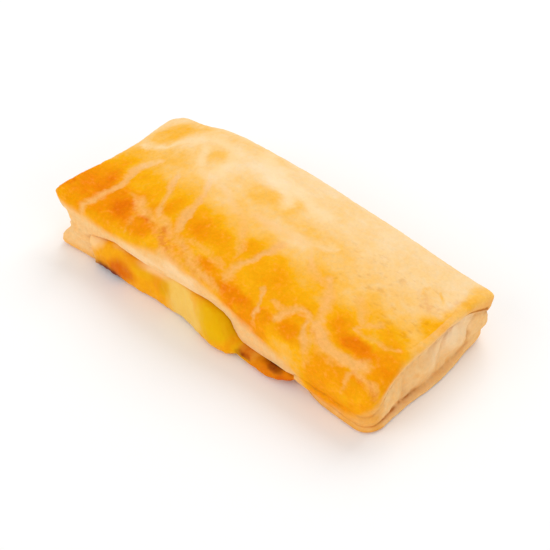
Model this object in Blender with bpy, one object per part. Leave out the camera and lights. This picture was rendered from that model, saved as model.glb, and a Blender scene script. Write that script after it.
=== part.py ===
"""A rectangular puff pastry meat pie with melted filling leaking from a long side.

X runs along the pie, the leaking side faces -Y, +Z is up and the flat underside lies on Z = 0.
The pastry is one closed surface: a domed top, a side wall carried round the rim, and a flat base.
Along the leaking side the wall turns inwards as a pocket, and the filling lies in that pocket.
"""

import math

import bpy
import numpy as np

MM = 0.001

# Plan of the crust, and the pocket that opens along its leaking side
HALF_LENGTH = 70 * MM
HALF_WIDTH = 30.5 * MM
POCKET_START = -60 * MM
POCKET_END = 42.5 * MM
POCKET_SLOPE = 5 * MM
POCKET_BACK = 18 * MM
POCKET_FLOOR = 3.2 * MM
LEAST_ROOF_DROP = 0.2 * MM
MOST_ROOF_DROP = 0.8 * MM

# The filling: where it begins and ends, how far it stays from the crust, and how far back it goes
FILLING_START = -56 * MM
FILLING_END = 38.8 * MM
FILLING_BACK = 14 * MM
FILLING_TIP = -21.5 * MM
MOUTH = 27.7 * MM
CLEARANCE = 0.3 * MM

# Length of each side that a corner takes up, how near to it its radius is felt, and the least radius
CORNER_REACH = 4.4 * MM
CORNER_POWER = 6
LEAST_RADIUS = 1.2 * MM

# Quads along the length, across the width and in half of a corner, and sections along the filling
ALONG = 58
ACROSS = 24
HALF_CORNER = 2
FILLING_SECTIONS = 44

# How flat the dome is across the width: a higher power is flatter in the middle
DOME_POWER = 2.4

# The shoulder, from the rim out to the edge: share of its width still to go, share of its drop done
SHOULDER_LEVELS = [(1.00, 0.00), (0.52, 0.13), (0.16, 0.46)]

# Front of the leak from its top to its lowest edge: share of the way out, share of the way up
BULGE = [(0.50, 0.95), (0.80, 0.80), (0.97, 0.55), (1.00, 0.30), (0.88, 0.06), (0.70, 0.00)]


def stations(pairs):
    """A list of (place, value) in millimetres, turned into metres."""
    return [(place * MM, value * MM) for place, value in pairs]


def rim_stations(near, right, far, left):
    """Stations all round the rim, from lists of (X or Y on that side, value) in millimetres.

    A place on the rim is a number from 0 to 4: 0 to 1 runs along the leaking side towards +X,
    1 to 2 up the +X end, 2 to 3 back along the far side and 3 to 4 down the -X end.
    """
    pairs = [(rim_place(x * MM), value) for x, value in near]
    pairs += [(1 + (y * MM / HALF_WIDTH + 1) / 2, value) for y, value in right]
    pairs += [(2 + (1 - x * MM / HALF_LENGTH) / 2, value) for x, value in far]
    pairs += [(3 + (1 - y * MM / HALF_WIDTH) / 2, value) for y, value in left]
    return sorted((place, value * MM) for place, value in pairs)


def rim_place(x):
    """Place on the rim of a point at this X on the leaking side."""
    return (x / HALF_LENGTH + 1) / 2


# Height of the top where it starts to round over, along the leaking side and along the far side
NEAR_RIM = stations([(-70, 22.6), (-62, 21.3), (-50, 20.5), (-38, 21.4), (-26, 23.2), (-12, 24.6),
                     (4, 24.2), (16, 22.2), (30, 21.2), (50, 20.2), (70, 18.0)])
FAR_RIM = stations([(-70, 23.0), (-62, 25.2), (-53, 26.2), (-44, 28.4), (-34, 29.0), (-10, 28.7),
                    (15, 27.1), (38, 24.5), (55, 21.9), (70, 20.0)])
# How far the middle of the dome stands above a line from rim to rim
DOME = stations([(-70, 0.6), (-60, 1.6), (-45, 3.2), (-25, 3.8), (5, 3.8), (35, 3.4), (58, 2.8), (70, 2.6)])
# Broad puffs and dips of the top in millimetres: X, Y, radius along X, radius along Y, height
PUFFS = [(-48, 14, 12, 12, 1.0), (-54, -14, 9, 10, 0.8), (-30, -8, 10, 13, 1.1), (-12, 12, 14, 11, 0.7),
         (-6, -16, 8, 10, 1.0), (16, -4, 13, 12, 0.9), (20, 16, 12, 9, -0.6), (36, -14, 10, 9, 0.9),
         (46, 8, 12, 12, 0.7), (58, -15, 7, 9, 0.8), (-20, -22, 6, 5, -0.8), (6, -21, 6, 5, -0.6)]

# Height of the outermost edge, where the rounded shoulder ends
EDGE_Z = rim_stations(
    near=[(-69, 21.5), (-62, 19.0), (-50, 17.5), (-40, 17.8), (-30, 20.0), (-14, 22.6), (4, 21.6),
          (15, 19.0), (30, 16.0), (45, 12.8), (62, 12.0)],
    right=[(-28, 15.0), (-20, 17.8), (-8, 20.0), (5, 21.6), (18, 20.0), (28, 18.0)],
    far=[(60, 15.0), (20, 17.2), (-30, 19.6), (-60, 19.2)],
    left=[(28, 21.2), (10, 20.8), (-10, 20.8), (-28, 21.4)])
# Height of the lower corner of the top sheet's cut edge
LIP_Z = rim_stations(
    near=[(-69, 16.4), (-63, 15.0), (-55, 11.6), (-47, 13.6), (-40, 14.6), (-30, 14.6), (-20, 15.0),
          (-8, 16.0), (2, 15.8), (10, 14.6), (16, 11.6), (21, 8.8), (28, 7.4), (35, 7.2), (42, 8.4),
          (52, 8.0), (64, 7.4)],
    right=[(-27, 10.0), (-19, 14.0), (-8, 16.5), (5, 17.8), (18, 16.5), (28, 12.6)],
    far=[(62, 8.4), (0, 7.8), (-60, 8.4)],
    left=[(27, 15.0), (0, 15.8), (-27, 16.0)])
# Depth of the pinched-in layers under that edge
RECESS = rim_stations(
    near=[(-69, 2.6), (-60, 2.8), (0, 2.6), (46, 1.2), (64, 1.2)],
    right=[(-26, 1.6), (-15, 2.6), (10, 3.0), (27, 0.2)],
    far=[(62, 0.8), (-62, 1.6)],
    left=[(26, 4.0), (0, 4.6), (-27, 3.4)])
# How far the layers swell out again at mid-height, between one pinch and the next
SWELL = rim_stations(
    near=[(-69, 0.4), (60, 0.2)],
    right=[(-26, 0.6), (-16, 2.2), (-10, 1.0), (-2, 2.6), (8, 1.4), (14, 2.8), (21, 1.0), (27, 0.6)],
    far=[(60, 0.2), (-60, 0.2)],
    left=[(24, 0.8), (14, 2.2), (5, 1.2), (-6, 2.4), (-14, 1.0), (-26, 0.6)])
# Height of the seam between the layers and the bottom sheet
SEAM_Z = rim_stations(
    near=[(-69, 4.6), (-60, 4.4), (20, 4.4), (36, 5.0), (46, 6.4), (62, 5.6)],
    right=[(-26, 3.8), (0, 3.6), (16, 4.0), (27, 6.6)],
    far=[(60, 5.6), (-60, 5.6)],
    left=[(26, 5.2), (0, 4.4), (-26, 4.8)])
# How far the bottom sheet stands out from the plan
FOOT_OUT = rim_stations(
    near=[(-69, 0.8), (-63, 1.2), (-57, -0.4), (-48, -4.0), (30, -4.0), (40, -3.4), (46, -1.4),
          (51, -0.2), (62, 0.4)],
    right=[(-26, 0.8), (-10, 1.4), (8, 1.6), (20, 0.3), (27, -0.6)],
    far=[(60, 0.0), (-60, 0.0)],
    left=[(26, -1.4), (0, -1.6), (-26, -0.6)])
# Width of the rounded shoulder
SHOULDER = rim_stations(
    near=[(-69, 1.6), (-50, 3.2), (-10, 3.0), (20, 4.0), (45, 5.6), (62, 5.0)],
    right=[(-25, 3.2), (0, 1.8), (25, 2.0)],
    far=[(60, 4.6), (0, 6.4), (-50, 5.6)],
    left=[(26, 1.8), (0, 1.6), (-26, 1.4)])
# How far the whole wall stands out from the plan
BELLY = rim_stations(
    near=[(-69, 0.6), (-60, 0.0), (-48, -0.6), (-30, 0.4), (-12, 0.8), (6, 0.3), (20, -0.4), (40, 0.2),
          (58, 0.6)],
    right=[(-27, 0.0), (-14, -0.6), (2, 0.6), (16, 0.4), (27, 1.5)],
    far=[(56, 0.8), (30, 1.4), (0, 2.3), (-32, 2.6), (-52, 1.2), (-66, 0.4)],
    left=[(24, 1.2), (6, -0.9), (-8, -0.5), (-26, 0.6)])
# Radius of the plan's corners at the top sheet's edge and at the foot, from the -X corner of the leak
TOP_CORNERS = [1.8 * MM, 4.8 * MM, 2.4 * MM, 4.6 * MM]
FOOT_CORNERS = [2.8 * MM, 6.0 * MM, 6.4 * MM, 6.0 * MM]

# The leak along X: height of its top, its outermost reach from the middle, and its lowest edge
LEAK_TOP = stations([(-58, 7.6), (-53, 9.8), (-46, 12.6), (-39, 13.6), (-30, 13.6), (-21, 13.8),
                     (-10, 14.8), (2, 15.0), (9, 13.8), (14.5, 10.4), (20, 7.4), (27, 6.2), (34, 6.2),
                     (41, 5.6)])
LEAK_OUT = stations([(-58, 31.2), (-52, 32.0), (-44, 32.3), (-34, 32.2), (-24, 31.3), (-16, 31.3),
                     (-8, 32.1), (1, 34.1), (7, 35.5), (12.5, 34.6), (16.5, 32.6), (22, 32.6), (29, 32.9),
                     (35, 32.0), (41, 29.0)])
LEAK_LOW = stations([(-58, 3.4), (-50, 0.6), (12.5, 0.6), (16.5, 1.4), (22, 0.6), (31, 0.8), (37, 2.6),
                     (41, 3.8)])


def curve(pairs, at):
    """Smooth curve through (place, value) pairs, which never swings past the values on each side."""
    places, values = np.array(pairs).T
    rise = np.diff(values) / np.diff(places)
    before, after = rise[:-1], rise[1:]
    same_way = before * after > 0
    mean = np.where(same_way, 2 * before * after / np.where(same_way, before + after, 1), 0)
    slopes = np.concatenate([[0], mean, [0]])
    i = np.clip(np.searchsorted(places, at) - 1, 0, len(places) - 2)
    step = places[i + 1] - places[i]
    t = np.clip((at - places[i]) / step, 0, 1)
    ease = t * t * (3 - 2 * t)
    bend = slopes[i] * t * (1 - t) ** 2 - slopes[i + 1] * t * t * (1 - t)
    return values[i] * (1 - ease) + values[i + 1] * ease + step * bend


def round_the_rim(pairs, place):
    """The smooth curve through stations all round the rim, so that its end meets its start."""
    before = [(p - 4, value) for p, value in pairs[-2:]]
    after = [(p + 4, value) for p, value in pairs[:2]]
    return curve(before + pairs + after, place)


def corner_radius(radii, place):
    """Radius of the plan's corner at a place on the rim, changing evenly from corner to corner."""
    return np.interp(place, range(5), radii + radii[:1])


def direction(angle):
    """The unit vector in plan at an angle from +X."""
    return np.stack([np.cos(angle), np.sin(angle)], axis=-1)


def rim_columns():
    """For each column of the wall: its point on the unit square, its outward direction and its place."""
    base, facing, places = [], [], []
    for side, (count, half) in enumerate([(ALONG, HALF_LENGTH), (ACROSS, HALF_WIDTH)] * 2):
        step = np.arange(count)
        reach = np.clip((step - HALF_CORNER) / (count - 2 * HALF_CORNER), 0, 1) * 2 - 1
        leaving = np.clip(step / HALF_CORNER, 0, 1) - 1
        arriving = np.clip((step - count + HALF_CORNER) / HALF_CORNER, 0, 1)
        outward = (side - 1) * math.pi / 2
        base.append(reach[:, None] * direction(outward + math.pi / 2) + direction(outward))
        facing.append(direction(outward + (leaving + arriving) * math.pi / 4))
        corner = CORNER_REACH / half
        places.append(side + 0.5 + 0.5 * reach * (1 - corner) + 0.5 * corner * (leaving + arriving))
    return np.concatenate(base), np.concatenate(facing), np.concatenate(places)


def top_height(x, y):
    """Height of the top: a line from the near rim to the far rim, plus the dome and the broad puffs."""
    share = np.clip((y / HALF_WIDTH + 1) / 2, 0, 1)
    ease = share * share * (3 - 2 * share)
    across = np.clip(np.abs(y) / HALF_WIDTH, 0, 1)
    height = curve(NEAR_RIM, x) * (1 - ease) + curve(FAR_RIM, x) * ease
    height += curve(DOME, x) * (1 - across ** DOME_POWER)
    for puff_x, puff_y, radius_x, radius_y, puff in PUFFS:
        away = ((x / MM - puff_x) / radius_x) ** 2 + ((y / MM - puff_y) / radius_y) ** 2
        height += puff * MM * np.exp(-away)
    return height


def pocket_share(x):
    """1 where the wall opens as the pocket, falling to 0 over a short slope at each end of it."""
    inside = np.minimum(x - POCKET_START, POCKET_END - x)
    return np.clip(inside / POCKET_SLOPE, 0, 1)


def wall_levels():
    """The wall as arrays of points, one array for each level from the rim down to the base."""
    base, facing, place = rim_columns()
    edge_z, lip_z = round_the_rim(EDGE_Z, place), round_the_rim(LIP_Z, place)
    recess, swell = round_the_rim(RECESS, place), round_the_rim(SWELL, place)
    seam_z, foot = round_the_rim(SEAM_Z, place), round_the_rim(FOOT_OUT, place)
    shoulder, belly = round_the_rim(SHOULDER, place), round_the_rim(BELLY, place)
    top_corner, foot_corner = corner_radius(TOP_CORNERS, place), corner_radius(FOOT_CORNERS, place)
    bend = np.abs(base) ** CORNER_POWER * np.sign(base)
    straight = base * (np.array([HALF_LENGTH, HALF_WIDTH]) - CORNER_REACH)

    def level(out, z, down, inward=0.0):
        """One level: its offset from the plan, its height, and 0 at the top to 1 at the foot."""
        radius = np.maximum(top_corner * (1 - down) + foot_corner * down, LEAST_RADIUS)
        offset = belly + out - radius + CORNER_REACH
        plan = straight + bend * offset[:, None] + radius[:, None] * facing
        plan[:, 1] += inward
        return np.column_stack([plan, np.broadcast_to(z, radius.shape)])

    # Along the pocket the wall goes in under the lip, down at the back and out along the floor
    on_leaking_side = base[:, 1] < -0.999
    pocket = np.where(on_leaking_side, pocket_share(straight[:, 0]), 0)
    inwards = pocket * (HALF_WIDTH + POCKET_BACK - recess)
    ceiling = curve(LEAK_TOP, straight[:, 0]) + CLEARANCE
    gap = lip_z - seam_z
    mouth_z = np.clip(ceiling, lip_z - MOST_ROOF_DROP, lip_z - LEAST_ROOF_DROP)
    mouth_z = np.where(pocket > 0, mouth_z, lip_z - 0.06 * gap)
    roof_z = np.where(pocket > 0, ceiling, lip_z - 0.22 * gap)
    floor_z = np.where(pocket > 0, POCKET_FLOOR, seam_z + 0.12 * gap)
    seam_z = np.where(pocket > 0, POCKET_FLOOR, seam_z)

    rim = level(-shoulder, 0, 0)
    rim[:, 2] = top_height(rim[:, 0], rim[:, 1])
    drop = rim[:, 2] - edge_z
    levels = [level(-shoulder * out, rim[:, 2] - drop * down, 0) for out, down in SHOULDER_LEVELS]
    levels += [
        level(0, edge_z, 0.05),
        level(-0.2 * MM, 0.62 * lip_z + 0.38 * edge_z, 0.1),
        level(-0.6 * MM, lip_z, 0.2),
        level(-0.8 * recess, mouth_z, 0.5),
        level(-recess, roof_z, 0.5, inwards),
        level(-recess + swell * (1 - pocket), (roof_z + floor_z) / 2, 0.5, inwards),
        level(-recess - 0.2 * MM, floor_z, 0.5, inwards),
        level(np.minimum(foot - 1.4 * MM, -0.7 * recess), seam_z, 0.7),
        level(foot - 0.2 * MM, seam_z - 0.9 * MM, 0.9),
        level(foot, seam_z * 0.42, 1),
        level(foot - 1.0 * MM, 0.4 * MM, 1),
        level(foot - 3.0 * MM, 0, 1),
    ]
    return levels


def patch_from_rim(rim):
    """A grid that fills a rim: each point blends the four sides, so that its edges meet the rim."""
    near_side, right_end = rim[:ALONG + 1], rim[ALONG:ALONG + ACROSS + 1]
    far_side = rim[ALONG + ACROSS:2 * ALONG + ACROSS + 1][::-1]
    left_end = np.concatenate([rim[2 * ALONG + ACROSS:], rim[:1]])[::-1]
    u = np.linspace(0, 1, ALONG + 1)[None, :, None]
    v = np.linspace(0, 1, ACROSS + 1)[:, None, None]
    between_sides = (1 - v) * near_side[None] + v * far_side[None]
    between_ends = (1 - u) * left_end[:, None] + u * right_end[:, None]
    near_corners = (1 - u) * near_side[0] + u * near_side[-1]
    far_corners = (1 - u) * far_side[0] + u * far_side[-1]
    return between_sides + between_ends - (1 - v) * near_corners - v * far_corners


def strips(rings):
    """Quads between each closed ring of point numbers and the next."""
    faces = []
    for upper, lower in zip(rings, rings[1:]):
        faces += np.stack([upper, lower, np.roll(lower, -1), np.roll(upper, -1)], axis=1).tolist()
    return faces


def pastry_mesh():
    """Points and faces of the pastry: the top, the wall levels below its rim, and the flat base."""
    levels = wall_levels()
    grid = np.arange((ALONG + 1) * (ACROSS + 1)).reshape(ACROSS + 1, ALONG + 1)
    rim = np.concatenate([grid[0, :-1], grid[:-1, -1], grid[-1, :0:-1], grid[:0:-1, 0]])
    top = patch_from_rim(levels[0]).reshape(-1, 3)
    top[:, 2] = top_height(top[:, 0], top[:, 1])
    top[rim] = levels[0]
    points = np.concatenate([top] + levels[1:])
    rings = [rim] + [len(top) + len(rim) * i + np.arange(len(rim)) for i in range(len(levels) - 1)]
    faces = np.stack([grid[:-1, :-1], grid[:-1, 1:], grid[1:, 1:], grid[1:, :-1]], axis=-1)
    return points, faces.reshape(-1, 4).tolist() + strips(rings) + [rings[-1][::-1].tolist()]


def filling_mesh():
    """Points and faces of the filling: a section in Y and Z, carried along X and closed at its ends."""
    x = np.linspace(FILLING_START, FILLING_END, FILLING_SECTIONS)
    tip = 1 - np.minimum(1, np.minimum(x - FILLING_START, FILLING_END - x) / POCKET_SLOPE)
    top, out = curve(LEAK_TOP, x), curve(LEAK_OUT, x)
    floor = np.full_like(x, POCKET_FLOOR + CLEARANCE)
    low = np.minimum(curve(LEAK_LOW, x), POCKET_FLOOR)
    foot = round_the_rim(FOOT_OUT, rim_place(x)) + round_the_rim(BELLY, rim_place(x))
    beside_foot = HALF_WIDTH + foot + 2 * CLEARANCE
    back = -FILLING_BACK * (1 - tip) - FILLING_TIP * tip
    middle = (back + MOUTH) / 2
    section = [(back, floor), (back, (floor + top) / 2), (back, top), (middle, top), (MOUTH, top)]
    for share, up in BULGE:
        inner = MOUTH * up + beside_foot * (1 - up)
        section.append((inner + share * (out - inner), low + up * (top - low)))
    section += [(beside_foot, low), (beside_foot, floor), (middle, floor)]
    lines = [np.column_stack([x, np.broadcast_to(-y, x.shape), z]) for y, z in section]
    points = np.stack(lines, axis=1).reshape(-1, 3)
    rings = [len(section) * i + np.arange(len(section))[::-1] for i in range(FILLING_SECTIONS)]
    return points, strips(rings) + [rings[0].tolist(), rings[-1][::-1].tolist()]


def finish(name, colour, roughness):
    """A plain baked or melted surface: its colour and how dull it is."""
    material = bpy.data.materials.new(name)
    material.use_nodes = True
    surface = material.node_tree.nodes["Principled BSDF"]
    surface.inputs["Base Color"].default_value = (*colour, 1)
    surface.inputs["Roughness"].default_value = roughness
    surface.inputs["Metallic"].default_value = 0
    return material


def add_solid(name, points, faces, material):
    """A named object with a smooth-shaded mesh."""
    mesh = bpy.data.meshes.new(name)
    mesh.from_pydata(points.tolist(), [], faces)
    mesh.materials.append(material)
    mesh.shade_smooth()
    mesh.set_sharp_from_angle(angle=math.radians(50))
    bpy.context.scene.collection.objects.link(bpy.data.objects.new(name, mesh))


def main():
    for leftover in list(bpy.data.objects):
        bpy.data.objects.remove(leftover)
    pastry, pastry_faces = pastry_mesh()
    filling, filling_faces = filling_mesh()
    everything = np.concatenate([pastry, filling])
    middle = (everything.min(axis=0) + everything.max(axis=0)) / 2
    middle[2] = 0
    crust = finish("golden crust", (0.86, 0.50, 0.14), 0.45)
    melted = finish("melted filling", (0.80, 0.52, 0.06), 0.35)
    add_solid("pastry", pastry - middle, pastry_faces, crust)
    add_solid("filling", filling - middle, filling_faces, melted)


main()
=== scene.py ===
# %% [markdown]
# # A baked puff pastry slice, from its plain solids to its finished look
# The real object is a flat rectangular pie of puff pastry, about 14 cm long. Its top was brushed with
# egg and baked to gold, and where the dough stretched the glaze tore and left pale lines. Along a long
# side the filling melted, ran out and browned on the tray.
# The solids of the pastry and of the filling come first and stay as the frame. Everything below gives
# them a fine surface and a finish, and keeps to their sizes.

# %% Load the frame
import math

import bpy
import numpy as np
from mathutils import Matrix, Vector


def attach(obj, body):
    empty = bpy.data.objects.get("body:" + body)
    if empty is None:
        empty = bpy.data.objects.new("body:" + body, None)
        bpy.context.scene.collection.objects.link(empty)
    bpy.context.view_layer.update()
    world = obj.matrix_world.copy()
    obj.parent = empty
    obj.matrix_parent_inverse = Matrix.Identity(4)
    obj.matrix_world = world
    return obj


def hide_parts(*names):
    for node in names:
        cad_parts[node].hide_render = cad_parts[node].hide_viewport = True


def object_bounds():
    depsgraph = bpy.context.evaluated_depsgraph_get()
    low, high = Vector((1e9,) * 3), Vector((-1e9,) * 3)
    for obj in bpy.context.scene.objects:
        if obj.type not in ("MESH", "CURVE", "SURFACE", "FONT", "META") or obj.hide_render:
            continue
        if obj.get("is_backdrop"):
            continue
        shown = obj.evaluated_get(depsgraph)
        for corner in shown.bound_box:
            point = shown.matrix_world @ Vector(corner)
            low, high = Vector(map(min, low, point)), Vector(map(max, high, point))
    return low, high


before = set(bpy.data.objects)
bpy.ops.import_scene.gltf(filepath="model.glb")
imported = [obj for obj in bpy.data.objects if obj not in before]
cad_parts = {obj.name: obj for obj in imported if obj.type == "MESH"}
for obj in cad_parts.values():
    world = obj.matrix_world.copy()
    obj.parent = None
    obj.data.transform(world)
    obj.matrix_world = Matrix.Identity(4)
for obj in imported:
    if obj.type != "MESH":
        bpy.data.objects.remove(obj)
cad_box = [list(corner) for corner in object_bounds()]
print("solids:", sorted(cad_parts), "box in metres:", np.round(cad_box, 4).tolist())

# %% [markdown]
# ## Units and where things are
# Baked goods are easiest to think about in millimetres, so every size below is in millimetres, and a
# mesh is turned into metres only when it is made. X runs along the pie, the leaking side faces -Y, and
# the tray is at Z = 0. The outline below is drawn round the middle of the crust. The frame's origin is
# the middle of the whole box, so the finished points are moved by the difference.

# %% Units and the plan
TO_METRES = 0.001
BOX_MIDDLE = np.array([0.490, -1.182, 0.0])
HALF_LENGTH = 70.0
HALF_WIDTH = 30.5

# %% [markdown]
# ## The camera
# The photograph looks down at about 42 degrees, from in front of the leaking side and to its right.
# A long lens a short half metre away gives the same slight perspective. Placing the camera before
# anything else means that each piece can be judged from where the photograph was taken.

# %% The camera
CAMERA_TURN, CAMERA_HEIGHT = math.radians(41.6), math.radians(41.9)
CAMERA_AWAY, AIM_RIGHT, AIM_UP = 447.0, 3.1, 3.7
FOCAL_PIXELS, PHOTO_PIXELS, SENSOR = 1300.0, 550.0, 36.0


def put_in_scene(name, data):
    """A new object with this mesh, lamp or camera in it, linked to the scene."""
    made = bpy.data.objects.new(name, data)
    bpy.context.scene.collection.objects.link(made)
    return made


back = Vector((math.sin(CAMERA_TURN) * math.cos(CAMERA_HEIGHT),
               -math.cos(CAMERA_TURN) * math.cos(CAMERA_HEIGHT), math.sin(CAMERA_HEIGHT)))
aside = Vector((math.cos(CAMERA_TURN), math.sin(CAMERA_TURN), 0))
above = back.cross(aside)
camera = put_in_scene("camera", bpy.data.cameras.new("camera"))
camera.location = (back * CAMERA_AWAY + aside * AIM_RIGHT + above * AIM_UP - Vector(BOX_MIDDLE)) * TO_METRES
camera.rotation_euler = back.to_track_quat("Z", "Y").to_euler()
camera.data.sensor_width = SENSOR
camera.data.lens = FOCAL_PIXELS / PHOTO_PIXELS * SENSOR
camera.data.clip_start = 0.01
bpy.context.scene.camera = camera
print("camera at", np.round(np.array(camera.location), 3).tolist())

# %% [markdown]
# ## Light and floor
# The photograph is bright and almost without shadow: a large soft light from behind on the right, and
# pale surroundings that fill the front. Area lights give such soft edges, and a pale sky lifts the
# shadow under the leaking side. The floor is a plain pale sheet.

# %% Light and floor
# Name, place in metres, width in metres, power in watts
LIGHTS = [("window", (-0.15, 0.65, 0.75), 0.7, 4.4), ("reflector", (-0.35, -0.95, 0.5), 1.0, 4.4),
          ("side card", (1.0, -0.2, 0.35), 0.8, 2.2)]
SKY_STRENGTH, PAPER_ROUGHNESS, FLOOR_HALF = 0.60, 0.8, 3.0


def srgb(red, green, blue):
    """A colour as seen on screen, 0 to 255, turned into the linear values that Blender mixes."""
    shown = np.array([red, green, blue]) / 255
    linear = np.where(shown <= 0.04045, shown / 12.92, ((shown + 0.055) / 1.055) ** 2.4)
    return (*linear.tolist(), 1.0)


def area_light(name, stand, width, power):
    """A square soft light at a place in metres, turned to face the pie."""
    lamp = bpy.data.lights.new(name, "AREA")
    lamp.size, lamp.energy = width, power
    holder = put_in_scene(name, lamp)
    holder.location = stand
    holder.rotation_euler = Vector(stand).to_track_quat("Z", "Y").to_euler()


for light in LIGHTS:
    area_light(*light)

sky = bpy.data.worlds.new("pale room")
sky.use_nodes = True
backdrop = sky.node_tree.nodes["Background"].inputs
backdrop["Color"].default_value = srgb(255, 254, 253)
backdrop["Strength"].default_value = SKY_STRENGTH
bpy.context.scene.world = sky
bpy.context.scene.view_settings.view_transform = "Standard"

sheet = [(x * FLOOR_HALF, y * FLOOR_HALF, 0) for x, y in ((-1, -1), (1, -1), (1, 1), (-1, 1))]
floor_mesh = bpy.data.meshes.new("floor")
floor_mesh.from_pydata(sheet, [], [(0, 1, 2, 3)])
floor = put_in_scene("floor", floor_mesh)
paper = bpy.data.materials.new("pale paper")
paper.use_nodes = True
paper_surface = paper.node_tree.nodes["Principled BSDF"].inputs
paper_surface["Base Color"].default_value = srgb(253, 253, 253)
paper_surface["Roughness"].default_value = PAPER_ROUGHNESS
floor_mesh.materials.append(paper)
floor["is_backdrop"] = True
print("lights:", len(LIGHTS))

# %% [markdown]
# ## Smooth curves through a few sizes
# A baked outline is easy to describe with a few sizes along each side and a smooth curve through them.
# A plain cubic curve can swing past its sizes and make bumps that nobody asked for. This one takes each
# slope from its two neighbours and lies level at every peak, so it stays between the sizes given.

# %% Smooth curves


def level_slopes(before, after):
    """The slope at each point from the rises before and after it, and level where these differ in sign."""
    same_way = before * after > 0
    return np.where(same_way, 2 * before * after / np.where(same_way, before + after, 1), 0)


def smooth_between(low, high, leaving, arriving, t):
    """From low to high as t goes from 0 to 1, leaving and arriving at the given slopes."""
    ease = t * t * (3 - 2 * t)
    return low * (1 - ease) + high * ease + leaving * t * (1 - t) ** 2 - arriving * t * t * (1 - t)


def curve(pairs, at):
    """Smooth curve through (place, value) pairs, which never swings past the values on each side."""
    places, values = np.array(pairs, float).T
    rise = np.diff(values) / np.diff(places)
    slopes = level_slopes(np.append(0, rise), np.append(rise, 0))
    i = np.clip(np.searchsorted(places, at) - 1, 0, len(places) - 2)
    step = places[i + 1] - places[i]
    t = np.clip((at - places[i]) / step, 0, 1)
    return smooth_between(values[i], values[i + 1], step * slopes[i], step * slopes[i + 1], t)


def refine(rows, counts, closed=False):
    """More rows between given rows of points, by the same level-at-peaks curve in each coordinate.

    counts says how many steps each gap between two rows is cut into. Also returned is each new row's
    place, counted in the given rows.
    """
    rows = np.asarray(rows)
    rows = np.concatenate([rows, rows[:1]]) if closed else rows
    step = np.diff(rows, axis=0)
    first, last = (step[-1:], step[:1]) if closed else (0 * step[:1], 0 * step[:1])
    slopes = level_slopes(np.concatenate([first, step]), np.concatenate([step, last]))
    places = np.concatenate([i + np.arange(n) / n for i, n in enumerate(counts)])
    if not closed:
        places = np.append(places, len(rows) - 1)
    i = np.minimum(places.astype(int), len(rows) - 2)
    t = (places - i)[:, None, None]
    return smooth_between(rows[i], rows[i + 1], slopes[i], slopes[i + 1], t), places


def rim_place(x):
    """Place on the rim of a point at this X on the leaking side."""
    return (x / HALF_LENGTH + 1) / 2


def rim_stations(near, right, far, left):
    """Stations all round the rim, from lists of (X or Y on that side, value).

    A place on the rim is a number from 0 to 4: 0 to 1 runs along the leaking side towards +X,
    1 to 2 up the +X end, 2 to 3 back along the far side and 3 to 4 down the -X end.
    """
    pairs = [(rim_place(x), value) for x, value in near]
    pairs += [(1 + (y / HALF_WIDTH + 1) / 2, value) for y, value in right]
    pairs += [(2 + (1 - x / HALF_LENGTH) / 2, value) for x, value in far]
    pairs += [(3 + (1 - y / HALF_WIDTH) / 2, value) for y, value in left]
    return sorted(pairs)


def round_the_rim(pairs, place):
    """The smooth curve through stations all round the rim, so that its end meets its start."""
    before = [(p - 4, value) for p, value in pairs[-2:]]
    after = [(p + 4, value) for p, value in pairs[:2]]
    return curve(before + pairs + after, place)


print("halfway between 0 and 10 the curve gives", curve([(0, 0), (1, 10), (2, 10)], 0.5))

# %% [markdown]
# ## The sizes of the baked piece
# These follow the sizes of the solids, and a few were brought closer to the photograph. The top is a
# dome between a near rim and a far rim. The wall goes from the rounded shoulder to the outermost edge,
# down the cut edge of the top sheet to its lip, back into the pinched layers, and out again over the
# seam to the bottom sheet.

# %% Sizes of the top
NEAR_RIM = [(-70, 24.2), (-65, 22.3), (-61, 21.3), (-50, 20.5), (-38, 21.4), (-26, 23.2), (-12, 24.6),
            (4, 24.2), (16, 22.2), (30, 21.2), (50, 20.2), (70, 18.0)]
FAR_RIM = [(-70, 23.0), (-62, 25.2), (-53, 26.6), (-44, 29.0), (-34, 29.6), (-10, 29.2), (15, 27.7),
           (38, 25.3), (55, 22.4), (70, 20.0)]
DOME = [(-70, 0.6), (-60, 1.6), (-45, 3.2), (-25, 3.8), (5, 3.8), (35, 3.4), (58, 2.8), (70, 2.6)]
DOME_POWER = 2.4
# Broad puffs and dips: X, Y, radius along X, radius along Y, height
PUFFS = [(-48, 14, 12, 12, 1.0), (-54, -14, 9, 10, 0.8), (-30, -8, 10, 13, 1.1), (-12, 12, 14, 11, 0.7),
         (-6, -16, 8, 10, 1.0), (16, -4, 13, 12, 0.9), (20, 16, 12, 9, -0.6), (36, -14, 10, 9, 0.9),
         (46, 8, 12, 12, 0.7), (58, -15, 7, 9, 0.8), (-20, -22, 6, 5, -0.8), (6, -21, 6, 5, -0.6)]


def top_height(x, y):
    """Height of the top: a line from the near rim to the far rim, plus the dome and the broad puffs."""
    share = np.clip((y / HALF_WIDTH + 1) / 2, 0, 1)
    ease = share * share * (3 - 2 * share)
    across = np.clip(np.abs(y) / HALF_WIDTH, 0, 1)
    height = curve(NEAR_RIM, x) * (1 - ease) + curve(FAR_RIM, x) * ease
    height += curve(DOME, x) * (1 - across ** DOME_POWER)
    for puff_x, puff_y, radius_x, radius_y, puff in PUFFS:
        height += puff * np.exp(-((x - puff_x) / radius_x) ** 2 - ((y - puff_y) / radius_y) ** 2)
    return height


print("height in the middle of the top:", round(float(top_height(np.array(0.0), np.array(0.0))), 1), "mm")

# %% [markdown]
# ## The sizes of the wall
# A pinched pastry edge changes all the way round: low and open over the leak, tall and folded at the
# right end, rolled under along the back. Each size of its section is therefore given at stations all
# round the rim, and one list serves one size, so that a corner can be changed alone.

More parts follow.
